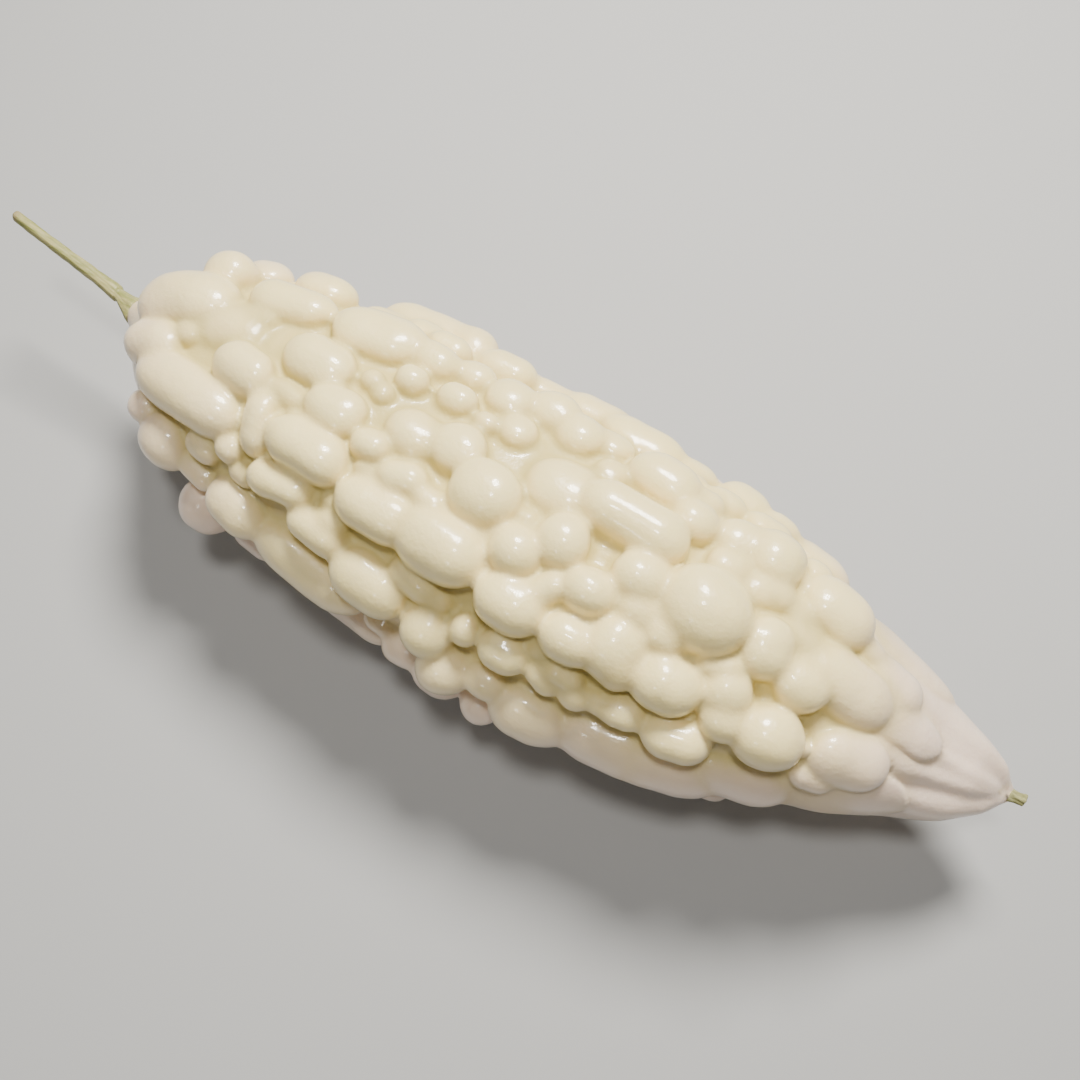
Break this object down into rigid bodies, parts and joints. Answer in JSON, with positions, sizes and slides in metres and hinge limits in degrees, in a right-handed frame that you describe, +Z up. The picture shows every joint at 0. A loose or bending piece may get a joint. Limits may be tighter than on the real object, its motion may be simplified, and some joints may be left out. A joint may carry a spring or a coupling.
{
  "type": "bitter gourd",
  "caption": "Whole white bitter gourd with a warty, waxy skin, a slim cut stalk and a tapering blossom end, lying on its side.",
  "frame": {"origin": "centre of the gourd's own box, on the surface that it lies on", "axes": "+X along the gourd from the stalk towards the blossom end, +Z up from the surface that it lies on"},
  "size_m": [0.294, 0.0845, 0.0811],
  "materials": {
    "gourd_skin": "gloss",
    "stalk": "matte",
    "dry_blossom": "matte"
  },
  "bodies": {
    "root": {"fruit": "gourd_skin", "stem": "stalk", "blossom_remnant": "dry_blossom"}
  },
  "joints": []
}
